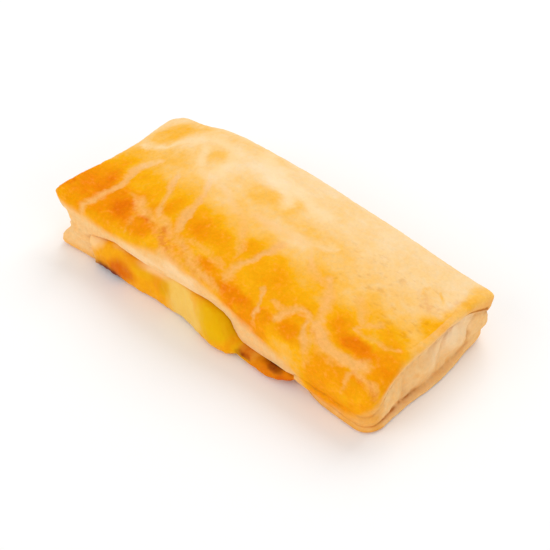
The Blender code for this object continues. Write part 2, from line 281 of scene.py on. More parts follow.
# %% Sizes of the wall
EDGE_Z = rim_stations(
    near=[(-69, 22.8), (-62, 19.0), (-50, 17.5), (-40, 17.8), (-30, 20.0), (-14, 22.6), (4, 21.6),
          (15, 19.0), (30, 16.0), (45, 12.8), (62, 12.0)],
    right=[(-28, 15.0), (-20, 17.8), (-8, 20.0), (5, 21.6), (18, 20.0), (28, 18.0)],
    far=[(60, 15.0), (20, 17.2), (-30, 19.6), (-60, 19.2)],
    left=[(28, 21.2), (10, 20.8), (-10, 20.8), (-28, 22.6)])
LIP_Z = rim_stations(
    near=[(-69, 16.4), (-63, 15.0), (-55, 11.6), (-47, 13.6), (-40, 14.6), (-30, 14.6), (-20, 15.0),
          (-8, 16.0), (2, 15.8), (8, 15.0), (11, 13.0), (13.5, 9.4), (16, 6.2), (20, 5.1), (28, 5.4),
          (35, 6.0), (42, 7.4), (52, 7.4), (64, 6.8)],
    right=[(-27, 10.6), (-19, 15.4), (-8, 18.0), (5, 19.4), (18, 18.0), (28, 13.0)],
    far=[(62, 8.4), (0, 7.8), (-60, 8.4)],
    left=[(27, 15.0), (0, 15.8), (-27, 16.0)])
RECESS = rim_stations(
    near=[(-69, 4.0), (-67, 3.0), (-64, 1.4), (-60, 0.3), (-52, 0.2), (-46, 1.4), (-38, 2.6), (0, 2.6),
          (44, 0.5), (64, 0.5)],
    right=[(-26, 0.8), (-15, 1.3), (10, 1.6), (20, 1.0), (26, 0.6)],
    far=[(66, 0.6), (56, 1.0), (-62, 1.6)],
    left=[(26, 4.0), (0, 4.6), (-27, 4.4)])
SWELL = rim_stations(
    near=[(-69, 0.4), (60, 0.2)],
    right=[(-26, 0.2), (-18, 1.5), (-11.5, -0.5), (-3, 1.9), (6, -0.5), (13, 2.0), (20.5, -0.2), (27, 0.2)],
    far=[(60, 0.2), (-60, 0.2)],
    left=[(24, 0.8), (14, 2.2), (5, 1.2), (-6, 2.4), (-14, 1.0), (-26, 0.6)])
SEAM_Z = rim_stations(
    near=[(-69, 8.0), (-65, 6.0), (-60, 4.6), (-54, 4.4), (20, 4.4), (36, 4.6), (46, 3.6), (62, 2.8)],
    right=[(-26, 2.0), (0, 1.7), (16, 2.3), (27, 6.0)],
    far=[(60, 5.6), (-60, 5.6)],
    left=[(26, 5.2), (0, 4.4), (-26, 7.2)])
FOLD_DROP = rim_stations(
    near=[(-69, 4.4), (-65, 3.0), (-60, 1.2), (-54, 0.9), (64, 0.9)],
    right=[(-26, 0.7), (16, 0.7), (26, 0.9)],
    far=[(60, 0.9), (-60, 0.9)],
    left=[(26, 0.9), (-10, 1.2), (-26, 3.6)])
FOOT_OUT = rim_stations(
    near=[(-69, 0.1), (-63, 0.4), (-58, 0.5), (-54, 0.4), (-51.6, -1.0), (-47, -4.0),
          (30, -4.0), (40, -3.4), (46, -1.4), (51, -0.5), (62, 0.0)],
    right=[(-26, 0.3), (-10, 0.9), (8, 0.8), (20, -0.2), (27, -1.0)],
    far=[(66, -0.8), (58, 0.0), (-60, 0.0)],
    left=[(26, -1.4), (0, -1.6), (-26, -1.4)])
TUCK = rim_stations(
    near=[(-69, 2.2), (-64, 1.2), (-58, 0.6), (64, 0.6)],
    right=[(-26, 0.6), (18, 0.6), (27, 0.9)],
    far=[(60, 0.6), (-60, 0.6)],
    left=[(26, 1.0), (0, 1.0), (-26, 2.0)])
SLANT = rim_stations(
    near=[(-69, 0.30), (-59, 0.26), (-53, 0.06), (64, 0.06)],
    right=[(-26, 0.06), (26, 0.06)],
    far=[(60, 0.06), (-60, 0.06)],
    left=[(26, 0.06), (0, 0.10), (-26, 0.26)])
SEAM_CUT = rim_stations(
    near=[(-69, 1.2), (-64, 0.4), (-52, 0.2), (-46, 1.4), (38, 1.4), (46, 0.5), (64, 0.4)],
    right=[(-26, 1.0), (16, 1.0), (26, 0.2)],
    far=[(66, 0.3), (56, 1.2), (-60, 1.4)],
    left=[(26, 1.4), (-26, 1.4)])
SHOULDER = rim_stations(
    near=[(-69, 1.6), (-50, 3.2), (-10, 3.0), (20, 4.0), (45, 5.6), (62, 5.0)],
    right=[(-25, 3.2), (0, 1.8), (25, 2.0)],
    far=[(60, 4.6), (0, 6.4), (-50, 5.6)],
    left=[(26, 1.8), (0, 1.6), (-26, 1.4)])
BELLY = rim_stations(
    near=[(-69, 0.6), (-60, 0.0), (-48, -0.6), (-30, 0.4), (-12, 0.8), (6, 0.3), (20, -0.4), (40, 0.2),
          (58, 0.6)],
    right=[(-27, 0.0), (-14, -0.6), (2, 0.6), (16, 0.4), (27, 1.5)],
    far=[(56, 0.8), (30, 1.4), (0, 2.3), (-32, 2.6), (-52, 1.2), (-66, 0.4)],
    left=[(24, 1.2), (6, -0.9), (-8, -0.5), (-26, 0.6)])
TOP_CORNERS = [1.8, 4.8, 2.4, 4.6]
FOOT_CORNERS = [2.8, 6.0, 6.4, 6.0]
CORNER_REACH, CORNER_POWER, LEAST_RADIUS = 4.4, 6, 1.2
SHOULDER_LEVELS = [(1.00, 0.00), (0.52, 0.13), (0.16, 0.46)]
ALL_STATIONS = (EDGE_Z, LIP_Z, RECESS, SWELL, SEAM_Z, FOOT_OUT, FOLD_DROP, SHOULDER, BELLY, TUCK, SLANT,
                SEAM_CUT)
print("stations round the rim:", sum(map(len, ALL_STATIONS)))

# %% [markdown]
# ## The sizes of the leak
# The filling pushed the wall open and ran out over the bottom sheet. Its upper edge, its reach and its
# lower edge are curves along X, and BULGE is the round shape of its front.

# %% Sizes of the pocket and of the leak
POCKET_START, POCKET_END, START_LEAN = -52.6, 38.6, 1.2
POCKET_SLOPE = 0.8
POCKET_BACK, POCKET_FLOOR, CLEARANCE = 18.0, 3.2, 0.3
START_TIP, END_TIP = -27.4, -26.4
LEAST_ROOF_DROP, MOST_ROOF_DROP = 0.2, 0.8
FILLING_START, FILLING_END, FILLING_BACK, MOUTH, FILLING_SLOPE = -53.4, 39.4, 14.0, 27.7, 5.0
LEAK_TOP = [(-58, 10.6), (-53, 11.2), (-46, 12.8), (-39, 13.9), (-30, 14.0), (-21, 14.4), (-10, 15.3),
            (2, 15.2), (7, 14.2), (10, 12.4), (12.5, 9.2), (15, 6.0), (19, 4.5), (28, 4.7), (34, 5.0),
            (41, 4.8)]
LEAK_OUT = [(-59, 30.7), (-52, 31.8), (-44, 32.3), (-34, 32.2), (-24, 31.3), (-16, 31.3), (-8, 32.1),
            (1, 34.1), (7, 35.5), (12.5, 34.6), (16.5, 32.6), (22, 32.6), (29, 32.9), (34, 32.2),
            (37, 31.2), (39, 30.2)]
LEAK_LOW = [(-59, 0.8), (-52, 0.6), (12.5, 0.6), (16.5, 1.4), (22, 0.6), (31, 0.8), (37, 2.6), (41, 3.8)]
BULGE = [(0.50, 0.98), (0.80, 0.86), (0.97, 0.58), (1.00, 0.30), (0.88, 0.06), (0.70, 0.00)]
print("the leak shows from X", FILLING_START, "to", FILLING_END, "mm")

# %% [markdown]
# ## Random but repeatable unevenness
# Dough is never regular, so most details below are shifted by soft noise. Value noise gives every point
# of a lattice a number from a fixed scramble of its place, and blends the eight numbers round a point.
# Adding finer and fainter layers makes it look like a crumb. Nothing depends on chance, so the pie comes
# out the same each time.

# %% Noise


def scramble(cell, seed):
    """A number from -1 to 1 for each whole-numbered place, from a fixed mixing of its coordinates."""
    cell = cell.astype(np.int64)
    mixed = (cell[..., 0] * 374761393 + cell[..., 1] * 668265263 + cell[..., 2] * 1442695041 + seed * 974711)
    mixed = (mixed ^ (mixed >> 13)) * 1274126177 & 0xFFFFFFFF
    mixed = (mixed ^ (mixed >> 15)) * 2246822519 & 0xFFFFFFFF
    return (mixed ^ (mixed >> 16)) / 0x7FFFFFFF - 1


def noise(points, size, seed, layers=1):
    """Soft noise between about -1 and 1, whose largest bumps are size apart, with finer layers added."""
    total, weight = 0, 0
    for layer in range(layers):
        scaled = np.asarray(points) / np.asarray(size) * 2 ** layer
        whole = np.floor(scaled)
        part = scaled - whole
        part = part * part * (3 - 2 * part)
        value = 0
        for corner in range(8):
            step = np.array([corner & 1, corner >> 1 & 1, corner >> 2 & 1])
            share = np.prod(np.where(step, part, 1 - part), axis=-1)
            value = value + share * scramble(whole + step, seed + layer)
        total, weight = total + value * 0.55 ** layer, weight + 0.55 ** layer
    return total / weight


def smoothstep(low, high, value):
    """0 below low, 1 above high, and an even S between them."""
    t = np.clip((value - low) / (high - low), 0, 1)
    return t * t * (3 - 2 * t)


def between(rise_from, rise_to, fall_from, fall_to, value):
    """1 in the middle of a stretch, with an S up to it at its start and an S down at its end."""
    return smoothstep(rise_from, rise_to, value) * (1 - smoothstep(fall_from, fall_to, value))


def bell(value, middle, width):
    """1 at the middle, fading to nothing about two widths away on each side."""
    return np.exp(-((value - middle) / width) ** 2)


trial = noise(np.random.default_rng(1).uniform(0, 100, (1000, 3)), 8, 3, layers=3)
print("noise runs from", round(float(trial.min()), 2), "to", round(float(trial.max()), 2))

# %% [markdown]
# ## The crust as one surface
# The top is a grid whose border is the rim, so it needs no seam. The wall hangs from that rim: each
# level below it is the same row of columns, moved in or out and down. The levels are the solid's own,
# and the curve above puts many finer rows between them. A base cap closes it.

# %% Columns of the wall
ALONG, ACROSS, HALF_CORNER = 324, 138, 7


def direction(angle):
    """The unit vector in plan at an angle from +X."""
    return np.stack([np.cos(angle), np.sin(angle)], axis=-1)


def rim_columns():
    """For each column of the wall: its point on the unit square, its outward direction and its place."""
    base, facing, places = [], [], []
    for side, (count, half) in enumerate([(ALONG, HALF_LENGTH), (ACROSS, HALF_WIDTH)] * 2):
        step = np.arange(count)
        reach = np.clip((step - HALF_CORNER) / (count - 2 * HALF_CORNER), 0, 1) * 2 - 1
        leaving = np.clip(step / HALF_CORNER, 0, 1) - 1
        arriving = np.clip((step - count + HALF_CORNER) / HALF_CORNER, 0, 1)
        outward = (side - 1) * math.pi / 2
        base.append(reach[:, None] * direction(outward + math.pi / 2) + direction(outward))
        facing.append(direction(outward + (leaving + arriving) * math.pi / 4))
        corner = CORNER_REACH / half
        places.append(side + 0.5 + 0.5 * reach * (1 - corner) + 0.5 * corner * (leaving + arriving))
    return np.concatenate(base), np.concatenate(facing), np.concatenate(places)


base, facing, place = rim_columns()
print("columns round the wall:", len(place))

# %% [markdown]
# ## The levels of the wall
# Between rim and base the wall passes through named levels such as the lip, the seam and the foot.
# Where the pocket is, the levels under the lip run deep into the pie, so that the filling has real room
# behind it and isn't painted on.

# %% Levels of the wall


def wall_levels():
    """The wall as arrays of points, one array for each level from the rim down to the base."""
    edge_z, lip_z, recess, swell, seam_z, foot, fold_drop, shoulder, belly, tuck, slant, seam_cut = (
        round_the_rim(stations, place) for stations in ALL_STATIONS)
    top_corner = np.interp(place, range(5), TOP_CORNERS + TOP_CORNERS[:1])
    foot_corner = np.interp(place, range(5), FOOT_CORNERS + FOOT_CORNERS[:1])
    bend = np.abs(base) ** CORNER_POWER * np.sign(base)
    straight = base * (np.array([HALF_LENGTH, HALF_WIDTH]) - CORNER_REACH)
    along, near_side = straight[:, 0], base[:, 1] < -0.999

    def level(out, z, down, inward=0.0):
        """One level: its offset from the plan, its height, and 0 at the top to 1 at the foot."""
        radius = np.maximum(top_corner * (1 - down) + foot_corner * down, LEAST_RADIUS)
        offset = belly + out - radius + CORNER_REACH
        plan = straight + bend * offset[:, None] + radius[:, None] * facing
        plan[:, 1] += inward
        return np.column_stack([plan, np.broadcast_to(z, radius.shape)])

    def pocket_share(lean):
        """1 in the pocket and 0 beside it, at a level whose start is moved along X by this lean."""
        inside = np.minimum(along - POCKET_START - lean * (along < 0), POCKET_END - along)
        return np.where(near_side, np.clip(inside / POCKET_SLOPE, 0, 1), 0)

    pocket = pocket_share(0)
    depth = HALF_WIDTH + POCKET_BACK - recess
    ceiling = curve(LEAK_TOP, along) + CLEARANCE
    gap = lip_z - seam_z
    mouth_z = np.clip(ceiling, lip_z - MOST_ROOF_DROP, lip_z - LEAST_ROOF_DROP)
    mouth_z = np.where(pocket > 0, mouth_z, lip_z - slant * gap)
    roof_z = np.where(pocket > 0, ceiling, lip_z - (slant + 0.16) * gap)
    floor_z = np.where(pocket > 0, POCKET_FLOOR, seam_z + (slant - 0.01) * gap)
    seam_z = np.where(pocket > 0, POCKET_FLOOR, seam_z)
    rim = level(-shoulder, 0, 0)
    rim[:, 2] = top_height(rim[:, 0], rim[:, 1])
    drop = rim[:, 2] - edge_z
    levels = [level(-shoulder * out, rim[:, 2] - drop * down, 0) for out, down in SHOULDER_LEVELS]
    return levels + [
        level(0, edge_z, 0.05),
        level(-0.35 * tuck, 0.62 * lip_z + 0.38 * edge_z, 0.1),
        level(-tuck, lip_z, 0.2),
        level(-np.maximum(0.8 * recess, tuck), mouth_z, 0.5),
        level(-recess, roof_z, 0.5, depth * pocket_share(-START_LEAN)),
        level(-recess + swell * (1 - pocket), (roof_z + floor_z) / 2, 0.5, depth * pocket),
        level(-recess - 0.2, floor_z, 0.5, depth * pocket_share(START_LEAN)),
        level(np.minimum(foot - seam_cut, -0.7 * recess), seam_z, 0.7),
        level(foot - 0.2, seam_z - fold_drop, 0.9),
        level(foot, (seam_z - fold_drop) * 0.55, 1),
        level(foot - 1.0, 0.4, 1),
        level(foot - 3.0, 0, 1),
    ]


LEVEL_NAMES = ["rim", "round", "turn", "edge", "cut", "lip", "mouth", "roof", "middle", "floor", "seam",
               "fold", "foot", "toe", "base"]
LEVEL = {name: number for number, name in enumerate(LEVEL_NAMES)}
STEPS_BETWEEN = [5, 7, 8, 4, 6, 3, 5, 5, 5, 4, 3, 3, 3, 1]
wall, wall_place = refine(wall_levels(), STEPS_BETWEEN)
print("rows down the wall:", len(wall), "from", len(LEVEL), "levels")

# %% [markdown]
# ## The top sheet and the faces
# The top is filled in from its own rim, like a sheet stretched on a frame, and then raised to its
# height. All faces are quads in one array, which is fast to make and smooth to shade.

# %% The top grid and the faces


def patch_from_rim(rim):
    """A grid that fills a rim: each point blends the four sides, so that its edges meet the rim."""
    near_side, right_end = rim[:ALONG + 1], rim[ALONG:ALONG + ACROSS + 1]
    far_side = rim[ALONG + ACROSS:2 * ALONG + ACROSS + 1][::-1]
    left_end = np.concatenate([rim[2 * ALONG + ACROSS:], rim[:1]])[::-1]
    u = np.linspace(0, 1, ALONG + 1)[None, :, None]
    v = np.linspace(0, 1, ACROSS + 1)[:, None, None]
    between_sides = (1 - v) * near_side[None] + v * far_side[None]
    between_ends = (1 - u) * left_end[:, None] + u * right_end[:, None]
    near_corners = (1 - u) * near_side[0] + u * near_side[-1]
    far_corners = (1 - u) * far_side[0] + u * far_side[-1]
    return between_sides + between_ends - (1 - v) * near_corners - v * far_corners


def ring_quads(rings):
    """Quads between each closed ring of point numbers and the next, as one array."""
    upper, lower = rings[:-1], rings[1:]
    corners = [upper, lower, np.roll(lower, -1, axis=1), np.roll(upper, -1, axis=1)]
    return np.stack(corners, axis=-1).reshape(-1, 4)


grid = np.arange((ALONG + 1) * (ACROSS + 1)).reshape(ACROSS + 1, ALONG + 1)
rim_points = np.concatenate([grid[0, :-1], grid[:-1, -1], grid[-1, :0:-1], grid[:0:-1, 0]])
top = patch_from_rim(wall[0]).reshape(-1, 3)
top[:, 2] = top_height(top[:, 0], top[:, 1])
top[rim_points] = wall[0]
crust_points = np.concatenate([top, wall[1:].reshape(-1, 3)])
columns = len(rim_points)
lower_points = grid.size + np.arange(columns * (len(wall) - 1))
rings = np.concatenate([rim_points[None], lower_points.reshape(-1, columns)])
top_quads = np.stack([grid[:-1, :-1], grid[:-1, 1:], grid[1:, 1:], grid[1:, :-1]], axis=-1).reshape(-1, 4)
crust_quads = np.concatenate([top_quads, ring_quads(rings)])
down = np.concatenate([np.zeros(grid.size), np.repeat(wall_place[1:], columns)])
round_place = np.concatenate([np.zeros(grid.size), np.tile(place, len(wall) - 1)])
round_place[rim_points] = place
print("crust:", len(crust_points), "points,", 2 * len(crust_quads) + columns - 2, "triangles")

# %% [markdown]
# ## Where the glaze tore
# As the top rose in the oven its glazed skin tore along stretch lines, and the paler dough under it
# shows. The lines run across the pie near the left end, meet in a rough strip along the near rim, and
# curl round the lower right. Each line is a few points in plan, a width and a strength. The high seam
# near the back is drawn wide, so that its pale line also paints a highlight.

# %% Tears and glaze
# Width, strength, points as (X, Y)
TEARS = {
    "left tear": (2.2, 1.15, [(-54, -2.5), (-55.6, -6), (-54.8, -10), (-54, -15), (-55.6, -20),
                              (-57.6, -24.5), (-58.2, -28), (-58, -33)]),
    "left tear's root": (2.6, 0.7, [(-51, 1), (-53, -1), (-55, -5)]),
    "upper left seam": (3.2, 0.6, [(-64, 7), (-59, 7.6), (-55.5, 8.8), (-53, 11.5), (-49.5, 14), (-44, 17)]),
    "second tear": (1.7, 1.05, [(-38.6, -2.5), (-37.4, -7), (-36, -10), (-34.4, -13), (-33.4, -16.5),
                                (-31, -19)]),
    "second tear's root": (2.6, 0.5, [(-40, 13), (-37, 8.5), (-34.5, 5.5), (-31, 2.5), (-27.5, 1.5)]),
    "third tear": (2.3, 1.2, [(-27.5, 3), (-25, -1), (-23.4, -5), (-22.6, -10), (-22, -15), (-21, -20)]),
    "third tear's root": (3.4, 0.5, [(-31, 17), (-28.5, 13), (-26.5, 9), (-26.5, 4)]),
    "rough strip": (2.5, 0.85, [(-42.3, -17.2), (-38, -19.4), (-33, -20.6), (-29, -20.6), (-26, -21),
                                (-20, -23), (-14, -25.4), (-8, -28), (-2, -30), (6, -31)]),
    "strip's head": (1.3, 0.5, [(-47, -15.5), (-43, -17)]),
    "strip's branch": (1.6, 0.45, [(-17, -24), (-12, -22), (-6, -22.6), (0, -23.6), (5, -24)]),
    "strip's tail": (3.4, 0.5, [(-27, -22.5), (-24, -25), (-20, -27.5), (-16, -29), (-10, -30.5)]),
    "crease to the rim": (1.2, 0.35, [(-39.5, -21), (-38.5, -25), (-37, -29)]),
    "fan across": (2.2, 0.6, [(-22, 2), (-16, 0.5), (-10, -3.5), (-5, -6), (-1, -9), (1, -12), (4, -17)]),
    "middle seam": (2.6, 0.7, [(-3, -2), (4, -1.6), (12, -0.6), (18, 0.8), (23, 2.5), (26, 5)]),
    "middle seam's fall": (2.0, 0.6, [(20, 0), (23, -4), (26, -7), (30, -8.5), (34, -9.5)]),
    # The high seam is partly a real tear and partly a painted highlight, hence its width
    "high seam": (4.0, 0.6, [(-22, 27), (-17, 21.5), (-12, 17.5), (-7, 14.5), (-2, 12.8), (1, 9.5)]),
    "high seam's tail": (3.6, 0.6, [(-8, 15), (-2, 17.5), (4, 15.5), (9, 13.5), (14, 14.5)]),
    "high seam's twin": (2.0, 0.6, [(-14, 23), (-8, 20), (-3, 18), (3, 19)]),
    "back streak": (3.2, 0.45, [(-46, 22), (-40, 19), (-35, 19.5), (-29, 17)]),
    "fourth tear": (2.3, 1.0, [(12, -6), (11, -9.5), (9.8, -13), (8.2, -17), (6.2, -21), (6.2, -26)]),
    "long curl's stem": (2.4, 0.95, [(33, -6.5), (36, -10), (38.4, -14), (39.6, -18), (41, -21.4)]),
    "long curl": (3.0, 1.1, [(40, -21), (43.5, -23.4), (48, -25.5), (53, -26.4), (58, -25.4), (61, -23.6)]),
    "curl's left arm": (1.6, 0.9, [(39.5, -21.6), (35.5, -20.4), (32, -21), (29.6, -24), (28.6, -27)]),
    "curl's foot": (1.6, 0.95, [(37.4, -22.5), (38.6, -25.5), (41.5, -29), (44.5, -32)]),
    "right pale spot": (2.0, 0.6, [(45, -6.5), (48.5, -9), (50.8, -12)]),
    "right pale branch": (1.4, 0.6, [(56, -9), (53, -12), (50.8, -14.5)]),
    "right wrinkle": (1.2, 0.6, [(50, -15.8), (54, -16.2), (58, -14.8), (62, -15.2), (65, -13)]),
    "lower right tear": (1.8, 0.85, [(60.5, -25.5), (63, -27.2), (67, -27.0), (70, -28)]),
    "corner tear": (1.4, 0.8, [(60.6, -24), (60, -28), (58.6, -31), (57.6, -34)]),
    "near wrinkle": (1.1, 0.8, [(18, -21.5), (20, -24.5), (21.8, -28), (22, -31)]),
    "near wrinkle's twin": (1.1, 0.6, [(24, -22.5), (27, -23.5), (30, -22.4)]),
    "near right wrinkle": (1.2, 0.6, [(40.8, -23), (42.6, -27), (43.4, -31)]),
}


def near_lines(shift, lines, swell=1.0):
    """How near each point is to a set of lines: 1 on a line, falling to 0 at its width, times strength.

    The points are moved by shift first, so that the lines wander, and the widths are multiplied by
    swell, which can differ from point to point.
    """
    px, py = x + shift[0], y + shift[1]
    found = np.zeros_like(x)
    for width, strength, points in lines.values():
        ends = np.array(points, float)
        nearest = np.full_like(x, 1e9)
        for (ax, ay), (bx, by) in zip(ends, ends[1:]):
            rx, ry = bx - ax, by - ay
            along = np.clip(((px - ax) * rx + (py - ay) * ry) / (rx ** 2 + ry ** 2), 0, 1)
            nearest = np.minimum(nearest, np.hypot(px - ax - along * rx, py - ay - along * ry))
        found = np.maximum(found, strength * (1 - smoothstep(0, width, nearest / swell)))
    return found


def uneven(size, seed, layers=1):
    """Soft noise at every point of the crust."""
    return noise(crust_points, size, seed, layers)


x, y, z = crust_points.T
wander = np.stack([uneven(5, 11, 3), uneven(5, 17, 3)]) * 1.3
ragged = wander + np.stack([uneven(1.6, 19, 2), uneven(1.6, 21, 2)]) * 0.7
tear = near_lines(ragged, TEARS, swell=1.2 + 0.8 * uneven(7, 27, 2)) * (0.95 + 0.5 * uneven(5, 23, 2))
print("tears:", len(TEARS), "share of the top torn:", round(float((tear[:grid.size] > 0.4).mean()), 2))

# %% [markdown]
# ## How brown each place baked
# The glaze is deepest along the near side and at the two ends, and thins to bare pale dough at the back.
# A curve across the width gives that, and soft patches add the islands between the tears. One patch
# near the back lowers the glaze to paint a pale highlight.

# %% Amount of glaze
GLAZE_ACROSS = [(-34, 0.68), (-26, 0.69), (-20, 0.67), (-12, 0.59), (-5, 0.46), (0, 0.37), (6, 0.29),
                (13, 0.21), (24, 0.16), (34, 0.18)]
PATCH_FADE = 2.2
# X, Y, radius along X, radius along Y, amount; the negative spot at (-13, 18) is a painted highlight
GLAZE_PATCHES = [
    (-63, -17, 7.5, 13.5, 0.30), (-60, -15, 3, 6, 0.06), (-62, 1, 6, 7, 0.20), (-60, 17, 7.5, 8, 0.28),
    (-55, 25, 7, 5, 0.14), (-49, -22, 9.5, 8, 0.26), (-45, -21.5, 5, 4.5, 0.16), (-46, -10, 9, 7, 0.10),
    (-50, -4, 7, 4, 0.10), (-48, 5, 9, 5, 0.10), (-34, -25.5, 8, 4, 0.30), (-28.5, -14, 3.5, 4, 0.20),
    (-29, -5, 4, 4, 0.04), (-9, -16.5, 10, 4, 0.15), (-15, -5, 6, 4, -0.10), (-7, 7, 6, 5, 0.16),
    # (-13, 18, 9, 6, -0.12) lowers the glaze to paint a pale highlight
    (2, 9, 5, 5, 0.14), (-13, 18, 9, 6, -0.12), (-25, 13, 9, 9, -0.05), (-36, 15, 8, 6, 0.05),
    (-42, 24, 10, 5, 0.06), (13, -28.4, 8, 2.4, 0.30), (-3, -26, 5, 2.0, 0.22),
    (5, -12.5, 3.5, 3.5, 0.14), (3, -6, 5, 3, -0.06), (15, -15, 8, 6, 0.06), (25, -11, 6, 4, -0.10),
    (34, -27, 4, 2.6, 0.22), (24, -28.5, 4, 2.5, 0.18), (46, -17, 3.5, 5, 0.18),
    (54.5, -20.6, 6.5, 3.2, 0.44), (61, -9, 5, 5, 0.14), (66, -19, 6, 8, 0.20),
    (53, -30.5, 10, 3.0, 0.16), (67.5, 1.5, 4.5, 5, 0.27), (70, 12, 3.2, 9, 0.24), (70, 24, 4.0, 8, 0.26),
    (24, 7, 10, 5, 0.06), (10, 5, 6, 4, 0.05), (10, -1, 9, 3.5, -0.13), (60, 14, 7, 7, 0.02),
    (43, 0, 8, 7, -0.02), (35, -32, 9, 2.6, -0.22), (58, -33, 7, 2.2, -0.14), (17, -5, 7, 5, -0.14),
    (40, -9, 5, 4, -0.10), (-40, 2, 6, 5, 0.09), (-24, 3, 5, 4, -0.08), (-32, 14, 6, 4, 0.07),
    (-8, 14, 6, 4, -0.09), (-33, -17, 4, 3, 0.12), (-15, -12, 8, 5, 0.06), (-22, 24, 12, 6, 0.09),
    (-3, 20, 8, 4, 0.06), (-33, 11, 5, 6, 0.08), (-52, 21, 8, 5, 0.06)]


def patches(x, y, spots):
    """The sum of soft round spots, each an amount at its middle that fades out past its radius."""
    total = np.zeros_like(x)
    for spot_x, spot_y, radius_x, radius_y, amount in spots:
        away = ((x - spot_x) / radius_x) ** 2 + ((y - spot_y) / radius_y) ** 2
        total += amount * np.exp(-away ** PATCH_FADE)
    return total


glaze = curve(GLAZE_ACROSS, y + wander[0] * 1.5) + patches(x + wander[0], y + wander[1], GLAZE_PATCHES)
islands = smoothstep(-0.25, 0.25, uneven(9, 33, 4)) - 0.5
lively = 0.6 + 0.4 * smoothstep(0.2, 0.5, glaze)
glaze += lively * (0.09 * uneven(7, 31, 3) + 0.07 * uneven(2.4, 37, 3) + 0.06 * islands)
glaze = np.clip(glaze, 0, 1.1)
print("glaze from", round(float(glaze.min()), 2), "to", round(float(glaze.max()), 2))

# %% [markdown]
# ## Bare dough on the sides
# The egg wash stops at the shoulder. Below it the cut edge of the top sheet, the pinched layers and the
# bottom sheet are bare, cream to tan. Where the crust rolls down whole, on the lower right and along the
# back, the glaze runs down to the seam.

# %% Where the glaze ends
GLAZE_END_Z = rim_stations(
    near=[(-69, 22.0), (-63, 18.8), (-53, 17.6), (-46, 16.8), (-36, 18.4), (-25, 21.2), (-16, 23.6),
          (-4, 22.4), (6, 19.8), (11, 17.4), (15, 15.4), (20, 13.4), (24, 11.8), (28, 10.8), (33, 9.8),
          (37, 8.6), (41, 6.6), (45, 3.6), (50, 3.4), (59, 3.8), (64, 5.4), (68, 9.6)],
    right=[(-29, 12.4), (-25, 15.0), (-19, 17.4), (-8, 19.8), (5, 21.4), (18, 19.6), (28, 17.0)],
    far=[(60, 7.0), (0, 7.0), (-60, 7.5)],
    left=[(28, 20.6), (0, 20.4), (-27, 21.6)])
on_wall = down > 0
glaze_end = round_the_rim(GLAZE_END_Z, round_place) + 0.9 * uneven(4, 41, 3)
dough = np.where(on_wall, smoothstep(-2.2, 1.6, glaze_end - z), 0)
print("bare share of the wall:", round(float(dough[on_wall].mean()), 2))

# %% [markdown]
# ## Scorches, painted shadow, flecks and rust
# Where the glaze lay thick or a crumb stuck out, it scorched. Those strokes are drawn like the tears,
# as lines with a width, and noise breaks them up so that no line looks ruled. Two strokes are painted
# shadow instead, beside the long curl and at the lower right corner, and deepen the glaze the same way.

# %% Scorches, painted shadow, flecks and rust
# Width, strength, points as (X, Y): short brown strokes on the top, scorches and painted shadow
SCORCHES_AND_SHADOWS = {
    "strip's scab": (3.4, 0.30, [(-25, -23.4), (-22, -24.8), (-19.5, -26.2), (-17.5, -27.6)]),
    "strip's second scab": (1.2, 0.5, [(-41, -20), (-37, -21.6), (-33, -22.6)]),
    "left corner": (1.6, 0.55, [(-71, -31), (-69.5, -28), (-69, -23)]),
    "left rim": (1.0, 0.3, [(-69.5, -22), (-69, -8)]),
    # Painted shadow beside the long curl
    "curl's shadow": (1.2, 0.45, [(40, -22.8), (44, -24.6), (49, -26.8)]),
    "right mark": (1.2, 0.4, [(56.5, 13), (57.5, 11), (58.5, 9)]),
    "right mark's twin": (1.0, 0.35, [(60, 15), (62, 13.5), (63.5, 12.4)]),
    # Painted shadow: a thin line of shade at the lower right corner
    "corner's painted shadow": (1.4, 0.45, [(61, -28), (65, -29), (68, -27.5)]),
    "corner edge": (1.0, 0.5, [(59.6, -23), (59.8, -26)]),
}
# The same for rusty crumbs
RUSTY = {
    "strip": (3.0, 0.35, [(-40, -20.5), (-31, -22), (-17, -26), (-9, -28.5), (-2, -30.0)]),
    "scab": (4.0, 1.0, [(-27, -23), (-23.5, -25), (-19, -27)]),
    "lower right": (2.0, 0.6, [(61, -26.5), (70, -28.5)]),
    "right rim": (3.0, 0.35, [(67, 18), (67, 10), (62, 8), (57, 10)]),
}
fleck_zone = smoothstep(22, 34, x) * between(-14, -6, 12, 20, y) * (down < 2)
flecks = smoothstep(0.20, 0.60, uneven((2.6, 1.1, 2.6), 44, 3)) * (0.12 + 0.88 * fleck_zone)
rust = near_lines(2 * wander, RUSTY) * (down < 3)
# Scorches and painted shadow, both deepening the glaze
scorch_and_shadow = near_lines(1.2 * wander, SCORCHES_AND_SHADOWS) * (down < 3) * smoothstep(-0.5, 0.6, uneven(1.8, 45, 3))
FULL_GLAZE = 1.2
glaze = np.clip(glaze + 0.7 * scorch_and_shadow, 0, FULL_GLAZE)
print("rusty points:", int((rust > 0.4).sum()))

# %% [markdown]
# ## Painted shade in the crevices
# A dark line of painted shade runs round the seam and a soft painted shadow lies under the lip. At the
# right end a few upright folds, where the layers were pinched together, carry painted shade as well.

# %% Painted shade in the crevices
# Place on the rim, width, depth (a dent in the relief and painted shade in the fold)
PINCHES = [(1.31, 0.02, 0.7), (1.60, 0.018, 1.0), (1.835, 0.016, 0.8), (1.45, 0.03, 0.3)]
at_right = between(1.02, 1.10, 1.93, 2.0, round_place)
near_right = between(0.98, 1.05, 1.35, 1.55, round_place)
